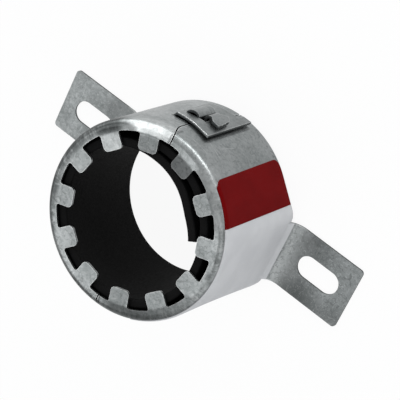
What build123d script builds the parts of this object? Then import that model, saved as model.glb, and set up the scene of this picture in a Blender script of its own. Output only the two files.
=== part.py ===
from build123d import *
from math import atan, atan2, cos, degrees, radians, sin, tan
import os

os.makedirs("parts", exist_ok=True)

# Pipe fire collar that is fixed to a wall: two equal half shells of folded sheet steel,
# hooked together at two seams, around a lining of wound strip.
# The origin is on the pipe axis in the plane of the wall. +Z runs out to the toothed front,
# the two slotted lugs lie along X and the two seams along Y.

# Band
band_radius = 37.0
sheet = 1.0
overall_height = 52.0
rim_lift = 3.0
front_bend = 2.6
corner_round = 6.0
seam_gap = 0.5
seam_step = 2.9
seam_step_low = 35.5
seam_step_drop = 7.6
seam_step_round = 12.0

# Toothed flange
tab_count = 12
tab_width = 7.7
flange_inner_radius = 32.8
tab_tip_radius = 26.2
tab_root_fillet = 0.9
tab_tip_fillet = 1.7

# Lugs
lug_width = 25.6
lug_lean = 2.5
lug_end_margin = 5.85
lug_bend = 5.5
lug_corner = 1.5
lug_relief = 1.0
fixing_spacing = 110.0
slot_length = 18.3
slot_width = 9.0

# Tongue that laps over the other half, with angles counted from the seam
tongue_clearance = 0.5
tongue_root_angle = 19.0
tongue_ramp_start = 18.3
tongue_ramp_end = 14.6
tongue_straight_angle = 2.0
tongue_reach_angle = 10.0
tongue_root_low = 10.5
tongue_root_high = 33.9
tongue_end_low = 6.2
tongue_end_high = 39.6
tongue_step_angle = 4.0
slit = 0.5

# Hook that comes up through the tongue and folds back over it
hook_inside_radius = 1.15
hook_low = 21.6
hook_high = 27.9
hook_front_flare = 3.1
hook_rear_flare = 2.7
hook_lap_angle = 8.1
hook_turn_angle = 0.3
hook_play = 0.4

# Arched flap lanced from the tongue beside the hook
flap_rise = 1.6
flap_low = 18.5
flap_high = 30.4
flap_root_angle = 12.8
flap_end_angle = 4.6

# Lining
strip_thickness = 3.25
strip_clearance = 0.05
strip_inset = 2.4
outer_strip_top_clearance = 0.5
inner_strip_front_gap = 0.4
strip_butt_gap = 0.6
loose_end_angle = 14.0
loose_end_drop = 7.6
second_lap_drop = 3.4

# Printed label
label_thickness = 0.2
header_thickness = 0.1
label_top_angle = 56.0
header_low_angle = 29.0
label_bottom_angle = -66.0
label_edge_inset = 0.6
label_front_lap = 1.7
label_corner = 3.2
label_neck_angle = 42.0

half_lug = lug_width / 2
lug_reach = fixing_spacing / 2 + slot_length / 2 + lug_end_margin
lug_foot = band_radius + lug_bend
inside_radius = band_radius - sheet
flat_half = half_lug / (1 - corner_round / band_radius)
corner_angle = degrees(atan(flat_half / band_radius))
flat_end_angle = 2 * corner_angle
bend_low = sheet + lug_bend
bend_start = overall_height - front_bend
seam_step_high = overall_height - seam_step_drop


def polar(radius, angle):
    return (radius * cos(radians(angle)), radius * sin(radians(angle)))


# The band's outline at its rear: a circle that is drawn out to a flat face at each lug,
# because a straight lug bend needs a flat to start from.
with BuildSketch() as rear_outline:
    Circle(band_radius)
    for side in (0, 180):
        with BuildLine(Plane.XY.rotated((0, 0, side))):
            Polyline(
                (0, 0),
                polar(band_radius, -flat_end_angle),
                (band_radius, -flat_half),
                (band_radius, flat_half),
                polar(band_radius, flat_end_angle),
                close=True,
            )
        make_face()
    flat_corners = [
        v for v in rear_outline.vertices()
        if abs(abs(v.X) - band_radius) < 0.001 and abs(abs(v.Y) - flat_half) < 0.001
    ]
    fillet(flat_corners, corner_round)


# The band as a solid body, larger all round by the growth. The flats at the lugs fade out
# towards the front, where the outline is a true circle and bends over into the flange.
def band_body(growth):
    with BuildSketch() as rear:
        add(rear_outline.sketch)
        offset(amount=growth, mode=Mode.REPLACE)
    turns = sorted(degrees(atan2(v.Y, v.X)) % 360 for v in rear.vertices())
    front = [
        CenterArc((0, 0, bend_start), band_radius + growth, angle, following - angle)
        for angle, following in zip(turns, turns[1:] + [turns[0] + 360])
    ]
    with BuildPart() as body:
        loft(sections=[Plane.XY.offset(bend_low) * rear.face(), Face(Wire(front))])
        extrude(Plane.XY.offset(bend_low) * rear.face(), amount=rim_lift - bend_low)
        with BuildSketch(Plane.XZ):
            with BuildLine():
                bend = CenterArc((band_radius - front_bend, bend_start), front_bend + growth, 0, 90)
                Polyline(bend @ 0, (0, bend_start), (0, overall_height + growth), bend @ 1)
            make_face()
        revolve(axis=Axis.Z)
    return body.part


body_outside = band_body(0)
label_outside = band_body(label_thickness)
header_outside = band_body(label_thickness + header_thickness)
enclosed = band_body(-sheet)

# Tongue: it follows the band from its root, ramps up by its own thickness, laps over the
# other half beyond the seam and ends in a short straight run.
lap_radius = band_radius + sheet + tongue_clearance
seam_angle = -90.0
with BuildPart() as tongue:
    with BuildSketch(Plane.XY):
        with BuildLine():
            for back in (0, sheet):
                start = seam_angle + tongue_root_angle + 2
                ramp = seam_angle + tongue_ramp_start
                lap = seam_angle + tongue_ramp_end
                straight = seam_angle - tongue_straight_angle
                run = CenterArc((0, 0), band_radius - back, start, ramp - start)
                rise = Spline(
                    polar(band_radius - back, ramp),
                    polar(lap_radius - back, lap),
                    tangents=[polar(1, ramp - 90), polar(1, lap - 90)],
                )
                over = CenterArc((0, 0), lap_radius - back, lap, straight - lap)
                tip = PolarLine(
                    polar(lap_radius - back, straight),
                    band_radius * radians(tongue_reach_angle - tongue_straight_angle),
                    straight - 90,
                )
                if back == 0:
                    first, last = run @ 0, tip @ 1
            Line(first, run @ 0)
            Line(last, tip @ 1)
        make_face()
    extrude(amount=overall_height)
    # Side outline, wider at its free end than at its root
    root_x = band_radius * sin(radians(tongue_root_angle))
    step_x = -lap_radius * sin(radians(tongue_step_angle))
    end_x = -(lap_radius + sheet) * sin(radians(tongue_reach_angle))
    with BuildSketch(Plane.XZ):
        with BuildLine():
            Polyline(
                (root_x, tongue_root_low),
                (root_x, tongue_root_high),
                (end_x, tongue_end_high),
                (end_x, tongue_end_low),
                (step_x, tongue_end_low),
                (step_x, tongue_root_low),
                close=True,
            )
        make_face()
    extrude(amount=2 * band_radius, mode=Mode.INTERSECT)
    # Window for the other half's hook, and the opening that the flap is lanced from
    hook_swing = hook_inside_radius + sheet + hook_play
    window_edge = 0.1
    with BuildSketch(Plane.XZ):
        with Locations((window_edge, flap_low - slit)):
            Rectangle(
                lap_radius * sin(radians(flap_root_angle)) - window_edge,
                flap_high - flap_low + 2 * slit,
                align=(Align.MIN, Align.MIN),
            )
    extrude(amount=2 * band_radius, mode=Mode.SUBTRACT)
    # The flap: an arched strip that stays joined at its root and dips at its free end
    with BuildSketch(Plane.XY.offset(flap_low)):
        with BuildLine():
            for back in (0, sheet):
                arch = Spline(
                    polar(lap_radius - back, seam_angle + flap_root_angle + 0.3),
                    polar(lap_radius + 0.8 * flap_rise - back, seam_angle + 0.85 * flap_root_angle),
                    polar(lap_radius + flap_rise - back, seam_angle + 0.66 * flap_root_angle),
                    polar(lap_radius + 0.85 * flap_rise - back, seam_angle + 0.52 * flap_root_angle),
                    polar(lap_radius + 0.1 * flap_rise - back, seam_angle + flap_end_angle),
                )
                if back == 0:
                    first, last = arch @ 0, arch @ 1
            Line(first, arch @ 0)
            Line(last, arch @ 1)
        make_face()
    extrude(amount=flap_high - flap_low)

# Hook at the other end of the half: up through the window, back over the tongue
with BuildPart() as hook:
    with BuildSketch(Plane.XY):
        with BuildLine():
            turn = -seam_angle + hook_turn_angle
            middle = band_radius + hook_inside_radius
            pivot = polar(middle, turn)
            for size in (hook_inside_radius, hook_inside_radius + sheet):
                low = CenterArc((0, 0), middle - size, turn - 2, 2)
                bow = CenterArc(pivot, size, turn + 180, -180)
                high = CenterArc((0, 0), middle + size, turn, -hook_lap_angle)
                if size == hook_inside_radius:
                    first, last = low @ 0, high @ 1
            Line(first, low @ 0)
            Line(last, high @ 1)
        make_face()
    extrude(amount=overall_height)
    # It flares on both sides and ends in a torn edge
    hook_reach = (band_radius + sheet) * sin(radians(hook_lap_angle))
    flare_low = hook_low - hook_rear_flare
    flare_high = hook_high + hook_front_flare
    torn_edge = [
        (hook_reach * depth, flare_low + (flare_high - flare_low) * height)
        for depth, height in (
            (0.45, 0.0), (0.82, 0.18), (0.90, 0.30), (0.86, 0.42), (0.96, 0.54),
            (0.92, 0.64), (0.99, 0.76), (0.95, 0.86), (1.0, 1.0), (0.40, 0.96),
        )
    ]
    with BuildSketch(Plane.XZ):
        with BuildLine():
            Polyline(
                (-hook_swing - sheet, hook_low),
                (0, hook_low),
                *torn_edge,
                (0, hook_high),
                (-hook_swing - sheet, hook_high),
                close=True,
            )
        make_face()
    extrude(amount=-2 * band_radius, mode=Mode.INTERSECT)

# Where one half lies: beyond the seams, plus its own step at one and less the other's
# at the other
with BuildPart() as half_space:
    with Locations((seam_gap / 2, 0, 0)):
        Box(
            2 * lug_reach,
            4 * band_radius,
            2 * overall_height,
            align=(Align.MIN, Align.CENTER, Align.CENTER),
        )
    for side, mode in ((-1, Mode.ADD), (1, Mode.SUBTRACT)):
        with BuildSketch(Plane.XZ) as step:
            with BuildLine():
                Polyline(
                    (-side * seam_gap / 2, seam_step_low),
                    (side * seam_step, seam_step_low),
                    (side * seam_step, seam_step_high),
                    (-side * seam_gap / 2, overall_height),
                    close=True,
                )
            make_face()
            shoulder = [
                v for v in step.vertices()
                if abs(v.X) > seam_step - 0.001 and abs(v.Y - seam_step_high) < 0.001
            ]
            fillet(shoulder, seam_step_round)
            if side > 0:
                offset(amount=seam_gap, kind=Kind.INTERSECTION, mode=Mode.REPLACE)
        extrude(amount=2 * side * band_radius, mode=mode)

# Half shell with the lug at +X: one folded sheet
with BuildPart() as shell_right:
    add(body_outside)
    add(enclosed, mode=Mode.SUBTRACT)
    # Mouth of the flange, left with a ring of square tabs
    tab_length = flange_inner_radius - tab_tip_radius + sheet
    with BuildSketch(Plane.XY.offset(overall_height)) as mouth:
        Circle(flange_inner_radius)
        with PolarLocations(tab_tip_radius, tab_count, start_angle=180 / tab_count):
            Rectangle(tab_length, tab_width, align=(Align.MIN, Align.CENTER), mode=Mode.SUBTRACT)
        tip_corner = (tab_tip_radius**2 + (tab_width / 2) ** 2) ** 0.5
        corners = mouth.vertices()
        tips = [v for v in corners if abs((v.X**2 + v.Y**2) ** 0.5 - tip_corner) < 0.01]
        fillet(tips, tab_tip_fillet)
        corners = mouth.vertices()
        roots = [v for v in corners if abs((v.X**2 + v.Y**2) ** 0.5 - flange_inner_radius) < 0.01]
        fillet(roots, tab_root_fillet)
    extrude(amount=-2 * sheet, mode=Mode.SUBTRACT)
    # Half of it, up to the butted seams, where a step that starts at the flange interlocks
    add(half_space.part, mode=Mode.INTERSECT)
    # Lug: the flat face turns outward below the band and lies on the wall, where it leans
    # a little to one side
    with BuildSketch(Plane.XY.offset(rim_lift)):
        with Locations((band_radius, 0)):
            Rectangle(4 * sheet, lug_width + 2 * lug_relief)
    extrude(amount=bend_low - rim_lift, mode=Mode.SUBTRACT)
    with BuildSketch(Plane.XZ):
        with BuildLine():
            bend_centre = (lug_foot, bend_low)
            front_arc = CenterArc(bend_centre, lug_bend, 180, 90)
            back_arc = CenterArc(bend_centre, lug_bend + sheet, 180, 90)
            Line(front_arc @ 0, back_arc @ 0)
            Line(front_arc @ 1, back_arc @ 1)
        make_face()
    extrude(amount=half_lug, both=True)
    end_shift = (lug_reach - lug_foot) * tan(radians(lug_lean))
    with BuildSketch(Plane.XY) as lug_outline:
        with BuildLine():
            Polyline(
                (lug_foot, half_lug),
                (lug_foot, -half_lug),
                (lug_reach, -half_lug - end_shift),
                (lug_reach, half_lug - end_shift),
                close=True,
            )
        make_face()
        fillet(lug_outline.vertices().group_by(Axis.X)[-1], lug_corner)
        with Locations((fixing_spacing / 2, 0)):
            SlotOverall(slot_length, slot_width, rotation=-lug_lean, mode=Mode.SUBTRACT)
    extrude(amount=sheet)
    # The band is slit along both sides of the tongue
    with BuildSketch(Plane.XZ):
        with BuildLine():
            Polyline(
                (root_x, tongue_root_low - slit),
                (root_x, tongue_root_high + slit),
                (end_x, tongue_end_high + slit),
                (end_x, tongue_root_low - slit),
                close=True,
            )
        make_face()
    extrude(amount=2 * band_radius, mode=Mode.SUBTRACT)
    add(tongue.part)
    add(hook.part)

# The other half is the same sheet, turned half a turn about the pipe axis
with BuildPart() as shell_left:
    add(shell_right.part.rotate(Axis.Z, 180))

# Outer lining strip, laid against the band with its ends butted at the upper seam
with BuildPart() as lining_outer:
    with BuildSketch(Plane.XY.offset(rim_lift + strip_inset)):
        Circle(inside_radius - strip_clearance)
        Circle(inside_radius - strip_clearance - strip_thickness, mode=Mode.SUBTRACT)
        Rectangle(
            strip_butt_gap,
            2 * band_radius,
            align=(Align.CENTER, Align.MIN),
            mode=Mode.SUBTRACT,
        )
    extrude(amount=bend_start - outer_strip_top_clearance - rim_lift - strip_inset)

# Inner lining strip: a coil that springs away from the outer one on one side,
# so that its cut end stands in the bore. Angles run on past a full turn.
coil_radius = inside_radius - 2 * strip_clearance - 1.5 * strip_thickness
coil = [
    (loose_end_angle, coil_radius - loose_end_drop),
    (loose_end_angle + 26, coil_radius - 1.2 * loose_end_drop),
    (loose_end_angle + 56, coil_radius - loose_end_drop),
    (loose_end_angle + 88, coil_radius - 0.68 * loose_end_drop),
    (loose_end_angle + 135, coil_radius - 0.06 * loose_end_drop),
    (loose_end_angle + 175, coil_radius),
    (loose_end_angle + 215, coil_radius),
    (loose_end_angle + 255, coil_radius),
    (loose_end_angle + 290, coil_radius - 0.1 * second_lap_drop),
    (loose_end_angle + 325, coil_radius - 0.6 * second_lap_drop),
    (loose_end_angle + 360, coil_radius - second_lap_drop),
    (loose_end_angle + 405, coil_radius - 0.8 * second_lap_drop),
    (loose_end_angle + 450, coil_radius - 0.35 * second_lap_drop),
]
with BuildPart() as lining_inner:
    with BuildSketch(Plane.XY.offset(rim_lift + strip_inset)):
        with BuildLine():
            near = Spline(*[polar(r - strip_thickness / 2, a) for a, r in coil])
            far = Spline(*[polar(r + strip_thickness / 2, a) for a, r in coil])
            Line(near @ 0, far @ 0)
            Line(near @ 1, far @ 1)
        make_face()
    extrude(amount=overall_height - sheet - inner_strip_front_gap - rim_lift - strip_inset)

# Printed label: it wraps the right half from its top edge to the lower side
# and runs a little way out over the neck of the lug.
label_low = rim_lift + label_edge_inset
label_high = bend_start + label_front_lap
label_middle = (label_low + label_high) / 2
label_height = label_high - label_low

# What its two rounded top corners leave out, seen square on to its top edge
top_edge_plane = Plane(
    origin=(0, 0, 0),
    x_dir=(*polar(1, label_top_angle + 90), 0),
    z_dir=(*polar(1, label_top_angle), 0),
)
with BuildSketch(top_edge_plane) as label_corners:
    with Locations((0, label_middle)):
        Rectangle(4 * label_corner, label_height + 2 * label_corner)
    with Locations((-3 * label_corner, label_middle)):
        RectangleRounded(6 * label_corner, label_height, label_corner, mode=Mode.SUBTRACT)

with BuildPart() as label:
    with BuildSketch(Plane.XY.offset(label_low)):
        with BuildLine():
            Polyline(
                (0, 0),
                polar(2 * band_radius, label_bottom_angle),
                (3 * band_radius, 0),
                polar(2 * band_radius, label_top_angle),
                close=True,
            )
        make_face()
    extrude(amount=label_height)
    add(label_outside, mode=Mode.INTERSECT)
    add(body_outside, mode=Mode.SUBTRACT)
    with BuildSketch(Plane.XY.offset(label_low)):
        with Locations((band_radius, 0)):
            Rectangle(4 * sheet, lug_width)
    extrude(amount=bend_low - label_low, mode=Mode.SUBTRACT)
    with BuildSketch(Plane.XZ):
        with BuildLine():
            inner_arc = CenterArc(bend_centre, lug_bend - label_thickness, 180, label_neck_angle)
            outer_arc = CenterArc(bend_centre, lug_bend, 180, label_neck_angle)
            Line(inner_arc @ 0, outer_arc @ 0)
            Line(inner_arc @ 1, outer_arc @ 1)
        make_face()
    extrude(amount=half_lug, both=True)
    extrude(label_corners.sketch, amount=2 * band_radius, mode=Mode.SUBTRACT)

# Its coloured head field
with BuildPart() as label_header:
    with BuildSketch(Plane.XY.offset(label_low)):
        with BuildLine():
            Polyline(
                (0, 0),
                polar(2 * band_radius, header_low_angle),
                polar(2 * band_radius, label_top_angle),
                close=True,
            )
        make_face()
    extrude(amount=label_height)
    add(header_outside, mode=Mode.INTERSECT)
    add(label_outside, mode=Mode.SUBTRACT)
    extrude(label_corners.sketch, amount=2 * band_radius, mode=Mode.SUBTRACT)

shell_right.part.label = "shell_right"
shell_left.part.label = "shell_left"
lining_outer.part.label = "lining_outer"
lining_inner.part.label = "lining_inner"
label.part.label = "label"
label_header.part.label = "label_header"

export_step(shell_right.part, "parts/shell_right.step")
export_step(shell_left.part, "parts/shell_left.step")
export_step(lining_outer.part, "parts/lining_outer.step")
export_step(lining_inner.part, "parts/lining_inner.step")
export_step(label.part, "parts/label.step")
export_step(label_header.part, "parts/label_header.step")
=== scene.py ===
import math

import bpy
from mathutils import Matrix, Vector


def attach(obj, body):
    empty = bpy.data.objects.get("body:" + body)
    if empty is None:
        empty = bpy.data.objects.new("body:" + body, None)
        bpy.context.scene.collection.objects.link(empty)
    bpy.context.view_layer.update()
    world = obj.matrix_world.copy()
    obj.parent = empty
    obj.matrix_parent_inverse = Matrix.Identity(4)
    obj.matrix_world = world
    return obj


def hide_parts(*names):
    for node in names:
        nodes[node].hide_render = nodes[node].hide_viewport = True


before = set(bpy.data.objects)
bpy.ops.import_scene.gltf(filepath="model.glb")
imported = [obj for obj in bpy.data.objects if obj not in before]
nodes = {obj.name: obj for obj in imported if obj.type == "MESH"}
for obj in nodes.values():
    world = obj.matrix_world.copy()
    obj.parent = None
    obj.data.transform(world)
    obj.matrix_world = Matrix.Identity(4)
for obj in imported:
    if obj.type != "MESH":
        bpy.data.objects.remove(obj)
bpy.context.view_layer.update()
print("frame loaded:", ", ".join(sorted(nodes)))

bandRadius = 0.037  # the outside of the band, in metres from the pipe axis


def newMaterial(name):
    material = bpy.data.materials.new(name)
    material.use_nodes = True
    tree = material.node_tree
    tree.nodes.clear()
    output = tree.nodes.new("ShaderNodeOutputMaterial")
    shader = tree.nodes.new("ShaderNodeBsdfPrincipled")
    tree.links.new(shader.outputs[0], output.inputs["Surface"])
    return material, tree, shader


def plug(tree, target, value):
    # a node socket is linked, anything else is set as a plain value
    if isinstance(value, bpy.types.NodeSocket):
        tree.links.new(value, target)
    else:
        target.default_value = value


def calc(tree, operation, *values, clamp=False):
    node = tree.nodes.new("ShaderNodeMath")
    node.operation = operation
    node.use_clamp = clamp
    for socket, value in zip(node.inputs, values):
        plug(tree, socket, value)
    return node.outputs[0]


def chain(tree, operation, values):
    result = values[0]
    for value in values[1:]:
        result = calc(tree, operation, result, value)
    return result


def times(tree, *values):
    return chain(tree, "MULTIPLY", values)


def plus(tree, *values):
    return chain(tree, "ADD", values)


def minus(tree, *values):
    return chain(tree, "SUBTRACT", values)


def largest(tree, *values):
    return chain(tree, "MAXIMUM", values)


def absolute(tree, value):
    return calc(tree, "ABSOLUTE", value)


def vectorCalc(tree, operation, a, b=(0, 0, 0), scale=None):
    node = tree.nodes.new("ShaderNodeVectorMath")
    node.operation = operation
    plug(tree, node.inputs[0], a)
    plug(tree, node.inputs[1], b)
    if scale is not None:
        plug(tree, node.inputs["Scale"], scale)
    return node.outputs["Value" if operation in ("DOT_PRODUCT", "LENGTH") else "Vector"]


def spread(tree, value, low, high, toLow=0.0, toHigh=1.0):
    # from one value to another, with soft ends
    node = tree.nodes.new("ShaderNodeMapRange")
    node.interpolation_type = "SMOOTHSTEP"
    for socket, item in zip(node.inputs, (value, low, high, toLow, toHigh)):
        plug(tree, socket, item)
    return node.outputs[0]


def blendColor(tree, factor, first, second):
    node = tree.nodes.new("ShaderNodeMix")
    node.data_type = "RGBA"
    plug(tree, node.inputs["Factor"], factor)
    plug(tree, node.inputs[6], first)
    plug(tree, node.inputs[7], second)
    return node.outputs[2]


def noise(tree, where, perMillimetre, detail=3.0, rough=0.5, distortion=0.0, output="Fac"):
    node = tree.nodes.new("ShaderNodeTexNoise")
    plug(tree, node.inputs["Vector"], where)
    node.inputs["Scale"].default_value = perMillimetre * 1000.0
    node.inputs["Detail"].default_value = detail
    node.inputs["Roughness"].default_value = rough
    node.inputs["Distortion"].default_value = distortion
    return node.outputs[output]


def cellPattern(tree, where, perMillimetre, feature="F1"):
    node = tree.nodes.new("ShaderNodeTexVoronoi")
    node.feature = feature
    plug(tree, node.inputs["Vector"], where)
    node.inputs["Scale"].default_value = perMillimetre * 1000.0
    return node


def bump(tree, height, distance, strength, normal=None):
    node = tree.nodes.new("ShaderNodeBump")
    node.inputs["Strength"].default_value = strength
    node.inputs["Distance"].default_value = distance
    plug(tree, node.inputs["Height"], height)
    if normal is not None:
        plug(tree, node.inputs["Normal"], normal)
    return node.outputs[0]


def partsOf(tree, vector):
    node = tree.nodes.new("ShaderNodeSeparateXYZ")
    tree.links.new(vector, node.inputs[0])
    return node.outputs[0], node.outputs[1], node.outputs[2]


def joined(tree, x, y, z=0.0):
    node = tree.nodes.new("ShaderNodeCombineXYZ")
    for socket, value in zip(node.inputs, (x, y, z)):
        plug(tree, socket, value)
    return node.outputs[0]


def objectPlace(tree):
    return tree.nodes.new("ShaderNodeTexCoord").outputs["Object"]


def geometryNormal(tree, name):
    return tree.nodes.new("ShaderNodeNewGeometry").outputs[name]


def readPlace(tree):
    # where a point of the object is, in metres, and how it lies round the pipe axis
    where = objectPlace(tree)
    x, y, z = partsOf(tree, where)
    flat = vectorCalc(tree, "MULTIPLY", where, (1, 1, 0))
    radius = vectorCalc(tree, "LENGTH", flat)
    angle = calc(tree, "ARCTAN2", y, x)
    arc = times(tree, angle, bandRadius)
    turn = calc(tree, "DIVIDE", angle, 2 * math.pi)
    return {
        "where": where, "x": x, "y": y, "z": z,
        "along": absolute(tree, x),
        "aside": absolute(tree, y),
        "radius": radius,
        "outward": vectorCalc(tree, "NORMALIZE", flat),
        "arc": arc,
        "unrolled": joined(tree, arc, z, radius),  # round the band, up it and out from the axis
        "share": calc(tree, "FRACT", plus(tree, turn, 1.0)),  # 0 to 1 anticlockwise from +X
    }


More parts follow.
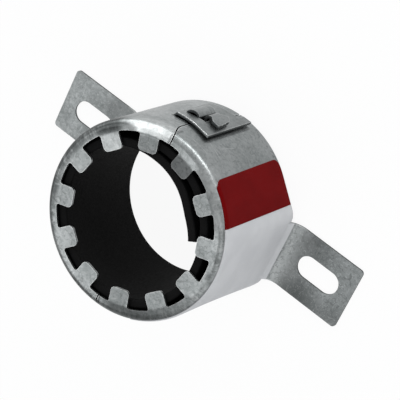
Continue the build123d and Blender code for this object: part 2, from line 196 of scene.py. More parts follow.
# galvanised sheet of the two shells: lengths in millimetres, fineness of patterns per millimetre
steelLook = {
    "darkColor": (0.235, 0.255, 0.255, 1),
    "paleColor": (0.365, 0.385, 0.388, 1),
    # colour of scratches and of painted highlights
    "scratchAndHighlightColor": (0.74, 0.76, 0.76, 1),
    # colour of painted highlights on corners, edges and the flange
    "edgeColor": (0.86, 0.88, 0.88, 1),
    # colour of painted shade on sheared faces and of painted shadow on the band
    "shadowColor": (0.055, 0.060, 0.062, 1),
    # colour of grime and of painted shade
    "grimeAndShadeColor": (0.10, 0.108, 0.108, 1),
    "roughness": (0.42, 0.30),  # of dark and of pale zinc
    "grainRoughness": 0.12,
    "cutRoughness": 0.2,
    "edgeWidth": (0.34, 0.60),  # in general and at the closures
    "edgeSamples": 6,

    # crystals of the zinc
    "spanglePerMm": 0.75,
    "spangleSoftness": 0.3,
    "wanderPerMm": 0.7,
    "wander": 1.3,  # how far the crystals are bent out of shape
    "seamPerMm": 0.50,
    "pitPerMm": 0.42,
    "featherLevel": 0.52,  # value of the pattern that the feathery edges follow

    # patterns: fineness, detail, roughness, distortion
    "patterns": {
        "clouds": (0.07, 2.0, 0.5, 0.0),
        "mottle": (0.9, 5.0, 0.7, 0.3),
        "grain": (2.1, 3.0, 0.6, 0.0),
        "specks": (1.7, 4.0, 0.75, 0.0),
        "feathers": (0.36, 1.5, 0.55, 2.4),
        "seamPatches": (0.62, 1.0, 0.5, 0.0),
        "stains": (0.24, 5.0, 0.70, 0.5),
        "dents": (0.055, 2.0, 0.4, 0.3),
    },
    # patterns on the unrolled band: how it is squeezed first, then the same four
    "runningPatterns": {
        "rolled": ((0.04, 1.0, 0.0), 3.2, 3.0, 0.6, 0.0),
        "streaks": ((1.0, 0.25, 0.35), 0.5, 4.0, 0.65, 0.8),
    },
    "toneShares": {"flower": 0.20, "mottle": 0.42, "grain": 0.32, "rolled": 0.12},
    "cloudShare": 0.22,
    "toneShift": -0.12,

    # between which values of its pattern each mark comes or goes
    "spans": {
        "clouds": (0.32, 0.68),
        "tone": (0.2, 0.8),
        "gloss": (0.1, 0.9),
        "specks": (0.66, 0.78),
        "feathers": (0.0, 0.024),
        "featherPatches": (0.40, 0.52),
        "seams": (0.02, 0.13),
        "seamPatches": (0.46, 0.60),
        "pits": (0.14, 0.25),
        "pitPatches": (0.36, 0.55),
        "neckPatches": (0.25, 0.6),
        "stains": (0.46, 0.68),
        "darkStreaks": (0.50, 0.66),
        "paleStreaks": (0.34, 0.47),
        "flangePatches": (0.30, 0.62),
        "strokePatches": (0.30, 0.62),
        "edgePatches": (0.3, 0.6),
        "corner": (0.99, 0.93),
        "looksOut": (0.1, 0.4),
        "squareOn": (0.80, 0.95),
        "outOfLine": (0.15, 0.30),
    },

    # how strongly each mark shows
    "strengths": {
        "specks": 0.45,
        "crisp": (0.55, 0.30),  # crystal edges off the band and on it
        "feathers": 0.45,
        "seams": 1.05,
        "seamsLeftLug": 0.42,
        "seamsFlange": 0.72,
        "pits": 0.55,
        # painted shade on the lugs
        "lugShade": (0.22, 0.43),  # left and right
        "lugShadeAlong": (1.6, 0.9),  # at the bend and at the tip
        "lugLowShade": 0.34,
        # painted shade in the lugs' bends, and a painted highlight beside it
        "neckShade": 0.10,
        "neckHighlight": 0.10,
        "stains": 0.60,
        "darkStreaks": 0.26,
        "paleStreaks": 0.22,
        # painted highlight and painted shade on stretches of the flange
        "flangeHighlightLeast": 0.45,  # share of a flange stretch's painted highlight where it is least
        "flangeShadeRange": (0.55, 1.30),
        "closures": 0.31,
        "scratches": 0.6,
        "strokeLeast": 0.25,
        # painted highlight on the tongues' front edges
        "edgeHighlight": 0.95,
        # painted shadow along the tongues' free edges and in the seams
        "paintedShadow": 0.80,
        # painted shade on sheared faces and on the lugs' edges
        "cut": 0.85,
        "cutLug": 0.75,
        # painted highlight on sharp corners
        "edge": (0.8, 0.45),  # in general and at the closures
        "edgeLug": 0.15,
        "edgeLeast": 0.45,
    },

    # where marks come or go: heights from the wall, radii from the axis, or places along X or Y
    "zones": {
        "middle": (-20.0, 20.0),
        "lugStart": (38.0, 46.0),
        "lugHeight": (4.0, 10.0),
        "lugEnd": (50.0, 66.0),
        "lugLowSide": (-12.0, -4.0),
        "leftLug": (-39.0, -36.0),
        "bandFoot": (4.0, 8.0),
        "bandTop": (49.0, 50.5),
        "flangeStart": (48.0, 50.0),
        "neckStart": (36.0, 41.0),
        "neckEnd": (43.0, 62.0),
        "neckHeight": (8.0, 13.0),
        # where the painted highlight beside the lugs' bends lies
        "neckHighlightStart": (35.0, 38.5),
        "neckHighlightEnd": (42.5, 52.0),
        "neckHighlightHeight": (8.0, 12.0),
        "front": (44.0, 49.0),
        "bend": (32.2, 34.6),
        "ring": (32.2, 33.8),
        # radii where the painted highlight and shade of the tabs shows
        "tabPaintedLight": (31.6, 33.4),
        "tabFace": (31.2, 33.0),
        "flangeInside": (31.6, 33.0),
        "flangeOutside": (34.6, 36.4),
        "flangeFace": (49.0, 50.0),
        "bowHeight": (4.0, 7.0),
        "cleanArc": (18.0, 26.0),
        "overBand": (37.4, 37.8),
        # radii of the painted highlight on the tongues' front edges
        "edgeHighlight": (37.9, 38.3),
        "onBand": (37.2, 37.6),
        "closureFoot": (5.0, 6.0),
        "closureTop": (48.0, 49.0),
        "closureSide": (30.0, 34.0),
        "cutFoot": (4.0, 5.0),
        "cutSide": (30.0, 33.0),
        "lugTop": (1.0, 1.1),
        "lugFlat": (43.0, 44.0),
    },
    "cleanMiddle": 58.0,  # middle of the clean stretch of the front bend, round the band

    # tabs from the one at 15 degrees on, anticlockwise: how far each face leans out, in degrees,
    # and how much painted highlight (above 0) or painted shade (below 0) is put on its colour
    "mostLean": 30,
    "tabLean": [2, 4, -18, -13, -2, 2, 4, 2, -2, 4, 4, 3],
    "tabPaintedLight": [-0.05, -0.05, 0.0, 0.0, 0.17, 0.06, -0.12, -0.02, 0.0, 0.0, 0.0, 0.0],

    # where the flange isn't bent quite flat: angles and lean in degrees, out from the axis,
    # and how strongly it is painted with shade in streaks (above 0) or painted pale as a highlight
    # (below 0) there
    "flangeLean": [
        {"start": 90.4, "full": 90.5, "still": 112.0, "gone": 126.0, "lean": 34.0, "paintedShading": -0.42},
        {"start": 122.0, "full": 130.0, "still": 196.0, "gone": 218.0, "lean": -10.0, "paintedShading": 0.74},
        {"start": 112.0, "full": 122.0, "still": 138.0, "gone": 146.0, "lean": -8.0, "paintedShading": 0.75},
        {"start": 22.0, "full": 34.0, "still": 58.0, "gone": 72.0, "lean": 18.0, "paintedShading": -0.25},
        {"start": 262.0, "full": 286.0, "still": 328.0, "gone": 350.0, "lean": 16.0, "paintedShading": 0.0},
    ],

    # how far from the axis the lugs' sheet still bends, and by how many degrees, left and right
    "lugBow": {"comes": (39.5, 42.5), "goes": (42.5, 58.0), "lean": (7.0, 15.0)},

    # strokes: start and end as millimetres round the band and from the wall, then half the width
    "scratches": [
        ((53.8, 45.7), (46.4, 45.6), 0.17),
        ((50.8, 38.6), (43.6, 40.3), 0.15),
        ((51.2, 13.7), (49.6, 13.6), 0.26),
        ((46.3, 34.9), (45.1, 27.0), 0.10),
        ((70.5, 12.8), (76.0, 12.0), 0.12),
        ((-60.0, 30.5), (-71.5, 33.2), 0.14),
        ((96.0, 22.0), (104.0, 24.5), 0.12),
        ((-20.0, 38.0), (-31.0, 36.1), 0.12),
    ],
    # painted highlight along the top of the tongues' front edges
    "highlightedEdges": [
        ((67.6, 34.5), (51.8, 39.40), 0.16),
        ((-48.6, 34.5), (-64.4, 39.40), 0.16),
    ],
    # painted shadow on the band along the tongue's free edges and in the seams' front ends
    "shadowLines": [
        ((68.8, 35.0), (51.6, 40.6), 1.3),
        ((51.0, 39.8), (51.0, 8.0), 1.2),
        ((58.7, 46.0), (58.8, 52.0), 0.95),
        ((-57.5, 46.0), (-57.4, 52.0), 0.95),
    ],
    "strokeCore": 0.4,  # share of the half width that is in full strength

    # relief: share of each pattern, then depth and strength
    "reliefShares": {"mottle": 0.6, "rolled": 0.25, "grain": 0.15},
    "scratchRelief": 0.5,
    "relief": (0.06, 0.6),
    "dentRelief": (0.9, 1.0),
    "highlightedEdgeTurn": (0.19, 0.0, 0.69),  # which way the highlighted front edges roll over
}


def toward(tree, color, factor, name):
    # the colour so far, turned towards one of the steel's colours
    return blendColor(tree, factor, color, steelLook[name])


def span(tree, value, name, first=0.0, last=1.0):
    return spread(tree, value, *steelLook["spans"][name], first, last)


def zone(tree, value, name, first=0.0, last=1.0):
    low, high = steelLook["zones"][name]
    return spread(tree, value, low / 1000, high / 1000, first, last)


def between(tree, value, coming, going):
    # 1 from the one zone up to the other
    return times(tree, zone(tree, value, coming), zone(tree, value, going, 1.0, 0.0))


def zincPatterns(tree, place):
    # the patterns that the sheet's colour, gloss and relief share
    look = steelLook
    where = place["where"]
    zinc = {name: noise(tree, where, *facts) for name, facts in look["patterns"].items()}
    for name, (squeeze, *facts) in look["runningPatterns"].items():
        zinc[name] = noise(tree, vectorCalc(tree, "MULTIPLY", place["unrolled"], squeeze), *facts)

    # crystal flowers: soft cells, bent a little out of shape
    bent = noise(tree, where, look["wanderPerMm"], output="Color")
    wander = vectorCalc(tree, "SCALE", bent, scale=look["wander"] / 1000)
    zinc["wandering"] = vectorCalc(tree, "ADD", where, wander)
    cells = cellPattern(tree, zinc["wandering"], look["spanglePerMm"], "SMOOTH_F1")
    cells.inputs["Smoothness"].default_value = look["spangleSoftness"]
    tint = tree.nodes.new("ShaderNodeSeparateColor")
    tree.links.new(cells.outputs["Color"], tint.inputs[0])
    zinc["flower"] = tint.outputs[0]
    return zinc


def zincTone(tree, zinc):
    look = steelLook
    tone = times(tree, span(tree, zinc["clouds"], "clouds"), look["cloudShare"])
    for name, share in look["toneShares"].items():
        tone = plus(tree, tone, times(tree, zinc[name], share))
    tone = calc(tree, "ADD", tone, look["toneShift"], clamp=True)
    color = blendColor(tree, span(tree, tone, "tone"), look["darkColor"], look["paleColor"])
    # small dark specks where the zinc is thin
    specks = span(tree, zinc["specks"], "specks", 0.0, look["strengths"]["specks"])
    return tone, toward(tree, color, specks, "grimeAndShadeColor")


def shadeLugs(tree, place, color):
    # painted shade on the lugs: more on the right lug, more towards the band, and more on the right
    # lug's low side
    strong = steelLook["strengths"]
    onLug = zone(tree, place["along"], "lugStart")
    onLug = times(tree, onLug, zone(tree, place["z"], "lugHeight", 1.0, 0.0))
    paintedShading = zone(tree, place["x"], "middle", *strong["lugShade"])
    paintedShading = times(tree, paintedShading, zone(tree, place["along"], "lugEnd", *strong["lugShadeAlong"]))
    lowSide = zone(tree, place["y"], "lugLowSide", strong["lugLowShade"], 0.0)
    paintedShading = plus(tree, paintedShading, times(tree, zone(tree, place["x"], "middle"), lowSide))
    return onLug, toward(tree, color, times(tree, onLug, paintedShading), "grimeAndShadeColor")


def crystalEdges(tree, place, zinc, color):
    # the crystals' feathery edges, dark seams and small pits, less plain on the rolled band
    look = steelLook
    strong = look["strengths"]
    onBand = between(tree, place["z"], "bandFoot", "bandTop")
    crisp = spread(tree, onBand, 0.0, 1.0, *strong["crisp"])

    off = absolute(tree, minus(tree, zinc["feathers"], look["featherLevel"]))
    feathers = span(tree, off, "feathers", 1.0, 0.0)
    feathers = times(tree, feathers, span(tree, zinc["mottle"], "featherPatches"))
    shown = times(tree, crisp, strong["feathers"])
    color = toward(tree, color, times(tree, feathers, shown), "scratchAndHighlightColor")

    borders = cellPattern(tree, zinc["wandering"], look["seamPerMm"], "DISTANCE_TO_EDGE")
    seams = times(
        tree,
        span(tree, borders.outputs["Distance"], "seams", 1.0, 0.0),
        span(tree, zinc["seamPatches"], "seamPatches"),
        zone(tree, place["x"], "leftLug", strong["seamsLeftLug"], 1.0),
        zone(tree, place["z"], "flangeStart", 1.0, strong["seamsFlange"]),
    )
    shown = times(tree, crisp, strong["seams"])
    color = toward(tree, color, times(tree, seams, shown), "grimeAndShadeColor")

    spots = cellPattern(tree, zinc["wandering"], look["pitPerMm"])
    pits = span(tree, spots.outputs["Distance"], "pits", 1.0, 0.0)
    pits = times(tree, pits, span(tree, zinc["clouds"], "pitPatches"))
    shown = times(tree, crisp, strong["pits"])
    return toward(tree, color, times(tree, pits, shown), "grimeAndShadeColor")


def lugBends(tree, place, zinc, color):
    # painted shade in the lugs' bends, and a painted highlight beside it
    strong = steelLook["strengths"]
    neck = times(
        tree,
        between(tree, place["along"], "neckStart", "neckEnd"),
        zone(tree, place["z"], "neckHeight", 1.0, 0.0),
        span(tree, zinc["mottle"], "neckPatches", 0.0, strong["neckShade"]),
    )
    color = toward(tree, color, neck, "grimeAndShadeColor")
    neckHighlight = times(
        tree,
        between(tree, place["along"], "neckHighlightStart", "neckHighlightEnd"),
        zone(tree, place["z"], "neckHighlightHeight", strong["neckHighlight"], 0.0),
    )
    return toward(tree, color, neckHighlight, "scratchAndHighlightColor")


def frontBend(tree, place, zinc, color):
    # stains, and radial streaks where the sheet was bent over to the front
    look = steelLook
    strong = look["strengths"]
    front = zone(tree, place["z"], "front")
    fromMiddle = absolute(tree, minus(tree, place["arc"], look["cleanMiddle"] / 1000))
    soiledArc = zone(tree, fromMiddle, "cleanArc")
    onBend = times(tree, zone(tree, place["radius"], "bend"), front, soiledArc)
    for pattern, name, ends, colorName in (
        ("stains", "stains", (0.0, strong["stains"]), "grimeAndShadeColor"),
        ("streaks", "darkStreaks", (0.0, strong["darkStreaks"]), "grimeAndShadeColor"),
        ("streaks", "paleStreaks", (strong["paleStreaks"], 0.0), "scratchAndHighlightColor"),
    ):
        mark = times(tree, onBend, span(tree, zinc[pattern], name, *ends))
        color = toward(tree, color, mark, colorName)

    # stretches of the flange painted with shade in streaky marks, or painted pale as a highlight
    onRing = times(tree, zone(tree, place["radius"], "ring"), front)
    for facts in look["flangeLean"]:
        paintedShading = facts["paintedShading"]
        if paintedShading < 0:
            patches = span(tree, zinc["stains"], "flangePatches", -paintedShading, -strong["flangeHighlightLeast"] * paintedShading)
            flangeHighlight = times(tree, stretch(tree, place, facts), onRing, patches)
            color = toward(tree, color, flangeHighlight, "edgeColor")
        if paintedShading > 0:
            least, most = strong["flangeShadeRange"]
            patches = span(tree, zinc["streaks"], "flangePatches", least * paintedShading, most * paintedShading)
            flangeShade = times(tree, stretch(tree, place, facts), onBend, patches)
            color = toward(tree, color, flangeShade, "grimeAndShadeColor")

    # painted highlight or painted shade on each tab
    onTab = times(tree, zone(tree, place["radius"], "tabPaintedLight", 1.0, 0.0), front)
    tabLightAndShade = times(tree, tabValues(tree, place, look["tabPaintedLight"], 1.0), onTab)
    color = toward(tree, color, largest(tree, tabLightAndShade, 0.0), "scratchAndHighlightColor")
    return toward(tree, color, largest(tree, times(tree, tabLightAndShade, -1.0), 0.0), "grimeAndShadeColor")


def stretch(tree, place, facts):
    # 1 on one stretch of the flange, fading out at both ends
    coming = spread(tree, place["share"], facts["start"] / 360, facts["full"] / 360)
    going = spread(tree, place["share"], facts["still"] / 360, facts["gone"] / 360, 1.0, 0.0)
    return times(tree, coming, going)


def tabValues(tree, place, values, most):
    # each tab's own value, by a ramp with one step for each tab, grey 0.5 for a value of 0
    steps = tree.nodes.new("ShaderNodeValToRGB")
    steps.color_ramp.interpolation = "CONSTANT"
    stops = steps.color_ramp.elements
    count = len(values)
    for i, value in enumerate(values):
        stop = stops[i] if i < 1 else stops.new(i / count)
        stop.position = i / count
        grey = 0.5 + value / (2 * most)
        stop.color = (grey, grey, grey, 1)
    stops.remove(stops[count])
    tree.links.new(place["share"], steps.inputs[0])
    return times(tree, minus(tree, steps.outputs[0], 0.5), 2 * most)


def handBent(tree, place):
    # the normals of the toothed flange, leaned out from the axis or in towards it
    look = steelLook
    leans = [math.radians(lean) for lean in look["tabLean"]]
    tilt = tabValues(tree, place, leans, math.radians(look["mostLean"]))
    tilt = times(tree, tilt, zone(tree, place["radius"], "tabFace", 1.0, 0.0))
    onFlange = between(tree, place["radius"], "flangeInside", "flangeOutside")
    for facts in look["flangeLean"]:
        here = times(tree, stretch(tree, place, facts), onFlange)
        tilt = plus(tree, tilt, times(tree, here, math.tan(math.radians(facts["lean"]))))
    tilt = times(tree, tilt, zone(tree, place["z"], "flangeFace"))

    # the lugs go on bending a little beyond their bends
    bow = look["lugBow"]
    slopes = [math.tan(math.radians(lean)) for lean in bow["lean"]]
    slope = zone(tree, place["x"], "middle", *slopes)
    comes, goes = ([reach / 1000 for reach in bow[key]] for key in ("comes", "goes"))
    bowed = times(
        tree,
        spread(tree, place["along"], *comes),
        spread(tree, place["along"], *goes, slope, 0.0),
        zone(tree, place["z"], "bowHeight", 1.0, 0.0),
    )
    lean = vectorCalc(tree, "SCALE", place["outward"], scale=plus(tree, tilt, bowed))
    leaned = vectorCalc(tree, "ADD", geometryNormal(tree, "Normal"), lean)
    return vectorCalc(tree, "NORMALIZE", leaned)


def cutFaces(tree, place):
    # 1 on the sheared faces of each closure's tongue, flap and hook
    facing = geometryNormal(tree, "True Normal")
    up = absolute(tree, partsOf(tree, facing)[2])
    roundIt = vectorCalc(tree, "NORMALIZE", joined(tree, times(tree, place["y"], -1.0), place["x"]))
    sideways = absolute(tree, vectorCalc(tree, "DOT_PRODUCT", roundIt, facing))
    sheared = largest(tree, span(tree, up, "squareOn"), span(tree, sideways, "squareOn"))
    within = between(tree, place["z"], "cutFoot", "closureTop")
    closure = times(tree, sheared, times(tree, zone(tree, place["aside"], "cutSide"), within))
    # and on the edges of the flat lugs
    # the flat lugs' edges get painted shade too
    outOfLine = span(tree, up, "outOfLine", steelLook["strengths"]["cutLug"], 0.0)
    flatLug = zone(tree, place["z"], "lugTop", 1.0, 0.0)
    flatLug = times(tree, flatLug, zone(tree, place["along"], "lugFlat"))
    return largest(tree, closure, times(tree, outOfLine, flatLug))


def strokes(tree, place, zinc, lines):
    # 1 on thin lines on the unrolled band, broken up by the grain
    look = steelLook
    flat = vectorCalc(tree, "MULTIPLY", place["unrolled"], (1, 1, 0))
    broken = span(tree, zinc["grain"], "strokePatches", look["strengths"]["strokeLeast"], 1.0)
    marks = []
    for start, end, half in lines:
        a, b = (Vector((arc / 1000, height / 1000, 0.0)) for arc, height in (start, end))
        length = (b - a).length
        along = tuple((b - a) / length)
        fromStart = vectorCalc(tree, "SUBTRACT", flat, tuple(a))
        run = vectorCalc(tree, "DOT_PRODUCT", fromStart, along)
        held = calc(tree, "MINIMUM", largest(tree, run, 0.0), length)
        onLine = vectorCalc(tree, "SCALE", along, scale=held)
        off = vectorCalc(tree, "LENGTH", vectorCalc(tree, "SUBTRACT", fromStart, onLine))
        line = spread(tree, off, half / 1000 * look["strokeCore"], half / 1000, 1.0, 0.0)
        marks.append(times(tree, line, broken))
    return largest(tree, *marks)


def highlightedCorners(tree, place, zinc, onLug):
    # 1 where the surface turns sharply; at the closures, only at corners that look outward
    look = steelLook
    strong = look["strengths"]
    aside = zone(tree, place["aside"], "closureSide")
    nearClosure = times(tree, aside, zone(tree, place["z"], "closureTop", 1.0, 0.0))
    rounded = tree.nodes.new("ShaderNodeBevel")
    rounded.samples = look["edgeSamples"]
    widths = [width / 1000 for width in look["edgeWidth"]]
    plug(tree, rounded.inputs["Radius"], spread(tree, nearClosure, 0.0, 1.0, *widths))
    same = vectorCalc(tree, "DOT_PRODUCT", rounded.outputs[0], geometryNormal(tree, "Normal"))
    outward = vectorCalc(tree, "DOT_PRODUCT", rounded.outputs[0], place["outward"])
    looksOut = span(tree, outward, "looksOut")
    edge = times(
        tree,
        span(tree, same, "corner"),
        largest(tree, looksOut, minus(tree, 1.0, nearClosure)),
        span(tree, zinc["mottle"], "edgePatches", strong["edgeLeast"], 1.0),
    )
    # how strongly the painted highlight shows on the corners
    cornerHighlight = spread(tree, nearClosure, 0.0, 1.0, *strong["edge"])
    cornerHighlight = times(tree, cornerHighlight, spread(tree, onLug, 0.0, 1.0, 1.0, strong["edgeLug"]))
    return times(tree, edge, cornerHighlight)


def makeSteel():
    material, tree, shader = newMaterial("galvanisedSheet")
    look = steelLook
    strong = look["strengths"]
    place = readPlace(tree)
    zinc = zincPatterns(tree, place)
    tone, color = zincTone(tree, zinc)
    onLug, color = shadeLugs(tree, place, color)
    color = crystalEdges(tree, place, zinc, color)
    color = lugBends(tree, place, zinc, color)
    color = frontBend(tree, place, zinc, color)

    # the tongues, flaps and hooks are darker
    onClosure = zone(tree, place["radius"], "overBand")
    onClosure = times(tree, onClosure, zone(tree, place["z"], "closureFoot"))
    color = toward(tree, color, times(tree, onClosure, strong["closures"]), "grimeAndShadeColor")

    # scratches, and painted shadow along the tongues' free edges and in the seams' front ends
    scratched = strokes(tree, place, zinc, look["scratches"])
    color = toward(tree, color, times(tree, scratched, strong["scratches"]), "scratchAndHighlightColor")
    paintedShadow = strokes(tree, place, zinc, look["shadowLines"])
    paintedShadow = times(tree, paintedShadow, zone(tree, place["radius"], "onBand", strong["paintedShadow"], 0.0))
    color = toward(tree, color, paintedShadow, "shadowColor")

    # painted shade on the sheared faces and lug edges, and painted highlight along sharp corners
    cut = cutFaces(tree, place)
    color = toward(tree, color, times(tree, cut, strong["cut"]), "shadowColor")
    color = toward(tree, color, highlightedCorners(tree, place, zinc, onLug), "edgeColor")
    # painted highlight along the top of the tongues' front edges
    edgeHighlight = strokes(tree, place, zinc, look["highlightedEdges"])
    edgeHighlight = times(tree, edgeHighlight, zone(tree, place["radius"], "edgeHighlight"))
    color = toward(tree, color, times(tree, edgeHighlight, strong["edgeHighlight"]), "edgeColor")

    rough = span(tree, tone, "gloss", *look["roughness"])
    rough = plus(tree, rough, times(tree, minus(tree, zinc["grain"], 0.5), look["grainRoughness"]))
    rough = plus(tree, rough, times(tree, cut, look["cutRoughness"]))
    plug(tree, shader.inputs["Base Color"], color)
    shader.inputs["Metallic"].default_value = 1.0
    plug(tree, shader.inputs["Roughness"], rough)

    # the sheet is bent by hand: it leans here and there and is a little dented
    depth, strength = look["dentRelief"]
    uneven = bump(tree, zinc["dents"], depth / 1000, strength, handBent(tree, place))
    turned = vectorCalc(tree, "SCALE", look["highlightedEdgeTurn"], scale=edgeHighlight)
    uneven = vectorCalc(tree, "NORMALIZE", vectorCalc(tree, "ADD", uneven, turned))
    shares = look["reliefShares"]
    height = plus(tree, *(times(tree, zinc[name], share) for name, share in shares.items()))
    height = minus(tree, height, times(tree, scratched, look["scratchRelief"]))
    depth, strength = look["relief"]
    plug(tree, shader.inputs["Normal"], bump(tree, height, depth / 1000, strength, uneven))
    return material


# black lining: patterns as fineness per millimetre, detail, roughness, distortion
liningLook = {
    "color": (0.0030, 0.0030, 0.0031, 1),
    "dustColor": (0.009, 0.0088, 0.0086, 1),
    "grain": (1.6, 5.0, 0.65, 0.0),
    "grainSpan": (0.3, 0.7),
    "clouds": (0.12, 3.0, 0.5, 0.0),
    "lines": (1.2, 3.0, 0.5, 0.0),
    "lineSqueeze": (0.08, 1.0, 0.0),
    "dust": 0.5,
    "dustPatches": (0.4, 0.75),
    "dustGrain": (0.45, 0.7),
    "roughness": (0.62, 0.82),
    "gloss": 0.10,
    "reliefShares": (0.8, 0.4),  # grain, lines
    "relief": (0.18, 0.7),  # depth in millimetres, strength
}


def makeLiningMaterial():
    material, tree, shader = newMaterial("liningStrip")
    look = liningLook
    place = readPlace(tree)
    grain = noise(tree, place["where"], *look["grain"])
    clouds = noise(tree, place["where"], *look["clouds"])
    squeezed = vectorCalc(tree, "MULTIPLY", place["unrolled"], look["lineSqueeze"])
    lines = noise(tree, squeezed, *look["lines"])
    dust = spread(tree, clouds, *look["dustPatches"])
    dust = times(tree, dust, spread(tree, grain, *look["dustGrain"]))
    color = blendColor(tree, times(tree, dust, look["dust"]), look["color"], look["dustColor"])
    plug(tree, shader.inputs["Base Color"], color)
    shader.inputs["Specular IOR Level"].default_value = look["gloss"]
    rough = spread(tree, grain, *look["grainSpan"], *look["roughness"])
    plug(tree, shader.inputs["Roughness"], rough)
    grainShare, lineShare = look["reliefShares"]
    height = plus(tree, times(tree, grain, grainShare), times(tree, lines, lineShare))
    depth, strength = look["relief"]
    plug(tree, shader.inputs["Normal"], bump(tree, height, depth / 1000, strength))
    return material


# both strips, in millimetres
stripLook = {
    "thickness": 3.25,
    "cornerRadius": 0.28,
    "cornerPoints": 3,
    "step": 0.75,
    "stepDegrees": 2.0,
    "roughness": 0.055,
    "roughPerMm": 0.42,
    "roughDetail": 3.0,
    "pressedIn": 0.75,  # share of the roughness that lies inside the plain surface
    "edgeRoughness": 0.16,
    "edgeReach": 0.7,
    "endRoughness": 0.9,
    "endPerMm": 0.9,
    "endDetail": 4.0,
    "endRing": 0.01,  # how near an end a ring counts as its last
    "seed": 4.0,
}

# the strips as lines round the pipe axis: (angle in degrees, radius in mm) of their middle
outerStrip = {"low": 5.4, "high": 48.9, "line": [(90.5, 34.325), (449.5, 34.325)]}

innerStrip = {
    "low": 5.4,
    "high": 50.6,
    "line": [
        (14, 23.425), (40, 21.905), (70, 23.425), (102, 25.857), (149, 30.569),
        (189, 31.025), (229, 31.025), (269, 31.025), (304, 30.685), (339, 28.985),
        (374, 27.625), (419, 28.305), (464, 29.835),
    ],
}


def lineBetween(stations):
    # radius as a smooth function of angle, through every station
    places = []
    count = len(stations)
    for i in range(count - 1):
        (a1, r1), (a2, r2) = stations[i], stations[i + 1]
        a0, r0 = stations[max(i - 1, 0)]
        a3, r3 = stations[min(i + 2, count - 1)]
        slope1 = (r2 - r0) / (a2 - a0)
        slope2 = (r3 - r1) / (a3 - a1)
        steps = max(1, round((a2 - a1) / stripLook["stepDegrees"]))
        for k in range(steps + (i == count - 2)):
            t = k / steps
            wide = a2 - a1
            radius = (
                (2 * t**3 - 3 * t**2 + 1) * r1 + (t**3 - 2 * t**2 + t) * wide * slope1
                + (3 * t**2 - 2 * t**3) * r2 + (t**3 - t**2) * wide * slope2
            )
            angle = math.radians(a1 + t * wide)
            places.append((radius / 1000 * math.cos(angle), radius / 1000 * math.sin(angle)))
    return places


def stripInputs(facts, material):
    # what the strip's node tree asks for, in metres
    look = stripLook
    return {
        "Thickness": look["thickness"] / 1000,
        "Width": (facts["high"] - facts["low"]) / 1000,
        "Corner Radius": look["cornerRadius"] / 1000,
        "Step": look["step"] / 1000,
        "Roughness": look["roughness"] / 1000,
        "Edge Roughness": look["edgeRoughness"] / 1000,
        "End Roughness": look["endRoughness"] / 1000,
        "Seed": look["seed"],
        "Material": material,
    }


def addSockets(tree, names):
    tree.interface.new_socket("Geometry", in_out="INPUT", socket_type="NodeSocketGeometry")
    for name in names:
        kind = "NodeSocketMaterial" if name == "Material" else "NodeSocketFloat"
        tree.interface.new_socket(name, in_out="INPUT", socket_type=kind)
    tree.interface.new_socket("Geometry", in_out="OUTPUT", socket_type="NodeSocketGeometry")


def seededNoise(tree, place, seed, perMillimetre, detail):
    node = tree.nodes.new("ShaderNodeTexNoise")
    node.noise_dimensions = "4D"
    node.inputs["Scale"].default_value = perMillimetre * 1000.0
    node.inputs["Detail"].default_value = detail
    tree.links.new(place, node.inputs["Vector"])
    tree.links.new(seed, node.inputs["W"])
    return node.outputs["Fac"]


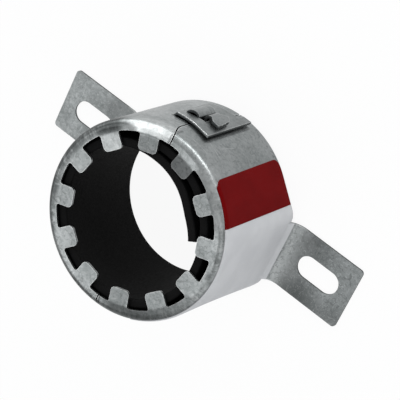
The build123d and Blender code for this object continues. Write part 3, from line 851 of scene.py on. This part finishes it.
def makeStripTree(names):
    look = stripLook
    tree = bpy.data.node_groups.new("liningStrip", "GeometryNodeTree")
    addSockets(tree, names)
    make = tree.nodes.new
    link = tree.links.new
    given = make("NodeGroupInput")
    out = make("NodeGroupOutput")

    # the strip's section, with soft corners
    section = make("GeometryNodeCurvePrimitiveQuadrilateral")
    link(given.outputs["Thickness"], section.inputs["Width"])
    link(given.outputs["Width"], section.inputs["Height"])
    soften = make("GeometryNodeFilletCurve")
    soften.mode = "POLY"
    soften.inputs["Count"].default_value = look["cornerPoints"]
    link(section.outputs[0], soften.inputs["Curve"])
    link(given.outputs["Corner Radius"], soften.inputs["Radius"])
    evenSection = make("GeometryNodeResampleCurve")
    evenSection.mode = "LENGTH"
    link(soften.outputs[0], evenSection.inputs["Curve"])
    link(given.outputs["Step"], evenSection.inputs["Length"])

    # along the wound line, with how far each ring is along it and which way it runs
    even = make("GeometryNodeResampleCurve")
    even.mode = "LENGTH"
    link(given.outputs["Geometry"], even.inputs["Curve"])
    link(given.outputs["Step"], even.inputs["Length"])
    upright = make("GeometryNodeSetCurveNormal")
    upright.mode = "Z_UP"
    link(even.outputs[0], upright.inputs["Curve"])
    rings = make("GeometryNodeCaptureAttribute")
    for kind, name in (("FLOAT", "Length"), ("VECTOR", "Tangent"), ("FLOAT", "Total")):
        rings.capture_items.new(kind, name)
    link(upright.outputs[0], rings.inputs["Geometry"])
    link(make("GeometryNodeSplineParameter").outputs["Length"], rings.inputs[1])
    link(make("GeometryNodeInputTangent").outputs[0], rings.inputs[2])
    link(make("GeometryNodeSplineLength").outputs["Length"], rings.inputs[3])
    fromStart, direction, total = rings.outputs[1], rings.outputs[2], rings.outputs[3]
    sweep = make("GeometryNodeCurveToMesh")
    sweep.inputs["Fill Caps"].default_value = True
    link(rings.outputs["Geometry"], sweep.inputs["Curve"])
    link(evenSection.outputs[0], sweep.inputs["Profile Curve"])

    # unevenness of the pressed surface, rougher at the cut long edges
    place = make("GeometryNodeInputPosition").outputs[0]
    seed = given.outputs["Seed"]
    rough = seededNoise(tree, place, seed, look["roughPerMm"], look["roughDetail"])
    inward = minus(tree, rough, look["pressedIn"])
    halfWidth = times(tree, given.outputs["Width"], 0.5)
    fromMiddle = absolute(tree, partsOf(tree, place)[2])
    nearEdge = spread(tree, fromMiddle, minus(tree, halfWidth, look["edgeReach"] / 1000), halfWidth)
    amount = plus(
        tree,
        times(tree, inward, given.outputs["Roughness"]),
        times(tree, nearEdge, times(tree, inward, given.outputs["Edge Roughness"])),
    )
    settle = make("GeometryNodeSetPosition")
    link(sweep.outputs[0], settle.inputs["Geometry"])
    normal = make("GeometryNodeInputNormal").outputs[0]
    link(vectorCalc(tree, "SCALE", normal, scale=amount), settle.inputs["Offset"])

    # torn ends: the last rings run unevenly along the strip
    ragged = seededNoise(tree, place, seed, look["endPerMm"], look["endDetail"])
    atStart = calc(tree, "LESS_THAN", fromStart, look["endRing"] / 1000)
    atEnd = calc(tree, "LESS_THAN", minus(tree, total, fromStart), look["endRing"] / 1000)
    pull = times(tree, ragged, given.outputs["End Roughness"], minus(tree, atStart, atEnd))
    tear = make("GeometryNodeSetPosition")
    link(settle.outputs[0], tear.inputs["Geometry"])
    link(vectorCalc(tree, "SCALE", direction, scale=pull), tear.inputs["Offset"])

    smooth = make("GeometryNodeSetShadeSmooth")
    link(tear.outputs[0], smooth.inputs["Geometry"])
    real = make("GeometryNodeRealizeInstances")
    link(smooth.outputs[0], real.inputs[0])
    paint = make("GeometryNodeSetMaterial")
    link(real.outputs[0], paint.inputs["Geometry"])
    link(given.outputs["Material"], paint.inputs["Material"])
    link(paint.outputs[0], out.inputs[0])
    return tree


def setInput(modifier, tree, name, value):
    item = next(i for i in tree.interface.items_tree if i.name == name and i.in_out == "INPUT")
    modifier[item.identifier] = value


def asPlainMesh(thing, name):
    # what the modifiers make becomes the piece's own mesh
    depsgraph = bpy.context.evaluated_depsgraph_get()
    mesh = bpy.data.meshes.new_from_object(thing.evaluated_get(depsgraph))
    mesh.name = name
    bpy.data.objects.remove(thing)
    piece = bpy.data.objects.new(name, mesh)
    bpy.context.scene.collection.objects.link(piece)
    return piece


def makeStrip(name, facts, tree, material):
    curve = bpy.data.curves.new(name + "Line", "CURVE")
    curve.dimensions = "3D"
    places = lineBetween(facts["line"])
    spline = curve.splines.new("POLY")
    spline.points.add(len(places) - 1)
    for point, (x, y) in zip(spline.points, places):
        point.co = (x, y, 0.0, 1.0)
    thing = bpy.data.objects.new(name + "Line", curve)
    bpy.context.scene.collection.objects.link(thing)
    modifier = thing.modifiers.new("strip", "NODES")
    modifier.node_group = tree
    for key, value in stripInputs(facts, material).items():
        setInput(modifier, tree, key, value)
    piece = asPlainMesh(thing, name)
    piece.data.transform(Matrix.Translation((0, 0, (facts["high"] + facts["low"]) / 2000)))
    return piece


# label: lengths in millimetres, patterns as fineness per millimetre, detail, roughness, distortion
labelLook = {
    "paper": (0.520, 0.525, 0.535, 1),
    "paperShade": (0.465, 0.470, 0.482, 1),
    "head": (0.125, 0.0016, 0.0022, 1),
    "headShade": (0.102, 0.0010, 0.0014, 1),
    # painted shade on the label's cut front edge
    "paperEdgeShade": (0.26, 0.262, 0.268, 1),
    "headFrom": 29.0,  # degrees round the axis
    "frontFrom": 45.0,
    "frontSpan": (0.85, 0.95),
    "clouds": (0.10, 3.0, 0.5, 0.0),
    "cloudPatches": (0.35, 0.7),
    "fibre": (3.5, 3.0, 0.6, 0.0),
    "fibreSpan": (0.3, 0.7),
    "wrinkle": (0.16, 2.0, 0.5, 0.6),
    "wrinkleSqueeze": (1, 1, 0.35),
    "shadeShares": (0.7, 0.25),  # clouds, fibre
    "roughness": (0.36, 0.50),
    "gloss": 0.02,
    "fibreRelief": 0.06,
    "relief": (0.25, 0.35),  # depth, strength
}


def makeLabelMaterial(name, color, shade):
    material, tree, shader = newMaterial(name)
    look = labelLook
    where = objectPlace(tree)
    x, y, z = partsOf(tree, where)
    clouds = noise(tree, where, *look["clouds"])
    fibre = noise(tree, where, *look["fibre"])
    squeezed = vectorCalc(tree, "MULTIPLY", where, look["wrinkleSqueeze"])
    wrinkle = noise(tree, squeezed, *look["wrinkle"])
    cloudShare, fibreShare = look["shadeShares"]
    shaded = times(tree, spread(tree, clouds, *look["cloudPatches"]), cloudShare)
    shaded = calc(tree, "ADD", shaded, times(tree, fibre, fibreShare), clamp=True)
    # painted shade on the cut front edge, which takes the head field's colour beside it
    byHead = calc(tree, "GREATER_THAN", calc(tree, "ARCTAN2", y, x), math.radians(look["headFrom"]))
    edgeColor = blendColor(tree, byHead, look["paperEdgeShade"], look["headShade"])
    facing = partsOf(tree, geometryNormal(tree, "True Normal"))[2]
    atFront = calc(tree, "GREATER_THAN", z, look["frontFrom"] / 1000)
    front = times(tree, spread(tree, facing, *look["frontSpan"]), atFront)
    plain = blendColor(tree, shaded, color, shade)
    plug(tree, shader.inputs["Base Color"], blendColor(tree, front, plain, edgeColor))
    shader.inputs["Specular IOR Level"].default_value = look["gloss"]
    rough = spread(tree, fibre, *look["fibreSpan"], *look["roughness"])
    plug(tree, shader.inputs["Roughness"], rough)
    height = plus(tree, wrinkle, times(tree, fibre, look["fibreRelief"]))
    depth, strength = look["relief"]
    plug(tree, shader.inputs["Normal"], bump(tree, height, depth / 1000, strength))
    return material


def dress(name, material):
    mesh = nodes[name].data
    mesh.materials.clear()
    mesh.materials.append(material)


steel = makeSteel()
for name in ("shell_right", "shell_left"):
    dress(name, steel)
lining = makeLiningMaterial()
stripTree = makeStripTree(list(stripInputs(outerStrip, lining)))
for name, facts in (("lining_outer", outerStrip), ("lining_inner", innerStrip)):
    dress(name, lining)
    strip = makeStrip(name.replace("lining_", "") + "LiningStrip", facts, stripTree, lining)
    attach(strip, "root")
    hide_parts(name)
    corners = [strip.matrix_world @ Vector(corner) for corner in strip.bound_box]
    corners = [tuple(round(v * 1000, 2) for v in corner) for corner in corners]
dress("label", makeLabelMaterial("labelPaper", labelLook["paper"], labelLook["paperShade"]))
dress("label_header", makeLabelMaterial("labelHead", labelLook["head"], labelLook["headShade"]))
print("materials made")


# floor and room, in metres
studio = {
    "floorSize": 6.0,
    "floorColor": (0.86, 0.86, 0.86, 1),
    "floorRoughness": 0.9,
    "worldColor": (0.95, 0.975, 1.0, 1),
    "worldStrength": 0.60,
    "skyUp": (-0.543, 0.819, -0.186),
    "skySpan": (-0.8, 0.8),
    "sky": (0.16, 1.00),
    "floorGlow": 0.93,
    "floorBrightWay": (0.5, 0.85, 0.0),
    "floorDim": (-0.08, 0.45),
    "floorBright": (0.05, 0.84),
    "floorLeft": (-0.03, 1.20),
    "floorRight": (0.02, 0.86),
    "lampDistance": 0.9,
    "lampAim": (0, 0, 0.026),
}

# softboxes: direction from the collar, power in watts, side in metres
lampLook = {
    "keyLamp": ((-0.76, 0.58, 0.20), 3.5, 0.70),
    "overheadLamp": ((0.06, 0.98, 0.10), 4.6, 0.58),
    "frontLamp": ((-0.34, -0.47, 0.90), 1.05, 0.50),
    "sideLamp": ((0.80, 0.42, 0.12), 0.8, 0.45),
    "neckLamp": ((0.60, -0.42, 0.68), 3.2, 1.05),
}

cameraFacts = {
    "place": (0.20160, 0.25368, 0.53906),
    "right": (0.7762837, 0.4046577, -0.4833589),
    "down": (0.5428203, -0.8189551, 0.1861682),
    "forward": (-0.3205148, -0.4068964, -0.8553979),
    "focalPixels": 1644.0,
    "framePixels": 400.0,
    "sensorWidth": 36.0,
    "clipStart": 0.01,
}


def seenRays(tree):
    # 1 for what is seen straight, through glass or in a reflection, and 1 for all but reflections
    path = tree.nodes.new("ShaderNodeLightPath").outputs
    seen = largest(tree, path["Is Camera Ray"], path["Is Transmission Ray"], path["Is Glossy Ray"])
    return seen, minus(tree, 1.0, path["Is Glossy Ray"])


def mixShaders(tree, factor, first, second, output):
    mix = tree.nodes.new("ShaderNodeMixShader")
    tree.links.new(factor, mix.inputs[0])
    tree.links.new(first.outputs[0], mix.inputs[1])
    tree.links.new(second.outputs[0], mix.inputs[2])
    tree.links.new(mix.outputs[0], output.inputs["Surface"])


def makeWorld():
    world = bpy.data.worlds.new("studioSky")
    bpy.context.scene.world = world
    world.use_nodes = True
    tree = world.node_tree
    tree.nodes.clear()
    output = tree.nodes.new("ShaderNodeOutputWorld")
    fill = tree.nodes.new("ShaderNodeBackground")
    fill.inputs["Color"].default_value = studio["worldColor"]
    fill.inputs["Strength"].default_value = studio["worldStrength"]
    white = tree.nodes.new("ShaderNodeBackground")
    white.inputs["Color"].default_value = (1, 1, 1, 1)
    seen, straight = seenRays(tree)
    # reflections fall off from the bright side of the room to its dim side
    direction = tree.nodes.new("ShaderNodeTexCoord").outputs["Generated"]
    height = vectorCalc(tree, "DOT_PRODUCT", direction, studio["skyUp"])
    fade = spread(tree, height, *studio["skySpan"], *studio["sky"])
    plug(tree, white.inputs["Strength"], largest(tree, fade, straight))
    mixShaders(tree, seen, fill, white, output)


def makeFloor():
    half = studio["floorSize"] / 2
    corners = [(-half, -half, 0), (half, -half, 0), (half, half, 0), (-half, half, 0)]
    mesh = bpy.data.meshes.new("floor")
    mesh.from_pydata(corners, [], [(0, 1, 2, 3)])
    floor = bpy.data.objects.new("floor", mesh)
    bpy.context.scene.collection.objects.link(floor)
    material, tree, shader = newMaterial("paleFloor")
    shader.inputs["Base Color"].default_value = studio["floorColor"]
    shader.inputs["Roughness"].default_value = studio["floorRoughness"]
    glow = tree.nodes.new("ShaderNodeEmission")
    glow.inputs["Color"].default_value = (1, 1, 1, 1)
    seen, straight = seenRays(tree)
    # in reflections the floor is dim on one side of the collar and bright on the other
    place = objectPlace(tree)
    where = vectorCalc(tree, "DOT_PRODUCT", place, studio["floorBrightWay"])
    (dimPlace, dim), (brightPlace, bright) = studio["floorDim"], studio["floorBright"]
    mirrored = spread(tree, where, dimPlace, brightPlace, dim, bright)
    across = vectorCalc(tree, "DOT_PRODUCT", place, (1, 0, 0))
    (leftPlace, left), (rightPlace, right) = studio["floorLeft"], studio["floorRight"]
    mirrored = times(tree, mirrored, spread(tree, across, leftPlace, rightPlace, left, right))
    mirrored = calc(tree, "MINIMUM", mirrored, 1.0)
    plug(tree, glow.inputs["Strength"], largest(tree, mirrored, straight))
    output = next(n for n in tree.nodes if n.type == "OUTPUT_MATERIAL")
    mixShaders(tree, times(tree, seen, studio["floorGlow"]), shader, glow, output)
    mesh.materials.append(material)


def makeLamp(name, direction, power, size):
    lamp = bpy.data.lights.new(name, "AREA")
    lamp.energy = power
    lamp.size = size
    thing = bpy.data.objects.new(name, lamp)
    bpy.context.scene.collection.objects.link(thing)
    away = Vector(direction).normalized()
    thing.location = Vector(studio["lampAim"]) + away * studio["lampDistance"]
    thing.rotation_euler = away.to_track_quat("Z", "Y").to_euler()


def makeCamera():
    camera = bpy.data.cameras.new("camera")
    camera.sensor_fit = "HORIZONTAL"
    camera.sensor_width = cameraFacts["sensorWidth"]
    focalShare = cameraFacts["focalPixels"] / cameraFacts["framePixels"]
    camera.lens = cameraFacts["sensorWidth"] * focalShare
    camera.clip_start = cameraFacts["clipStart"]
    thing = bpy.data.objects.new("camera", camera)
    bpy.context.scene.collection.objects.link(thing)
    right = Vector(cameraFacts["right"])
    up = -Vector(cameraFacts["down"])
    back = -Vector(cameraFacts["forward"])
    turn = Matrix((right, up, back)).transposed()
    thing.matrix_world = Matrix.Translation(cameraFacts["place"]) @ turn.to_4x4()
    bpy.context.scene.camera = thing


makeWorld()
makeFloor()
for name, (direction, power, size) in lampLook.items():
    makeLamp(name, direction, power, size)
makeCamera()
bpy.context.scene.view_settings.view_transform = "Standard"
print("floor, lamps and camera made")
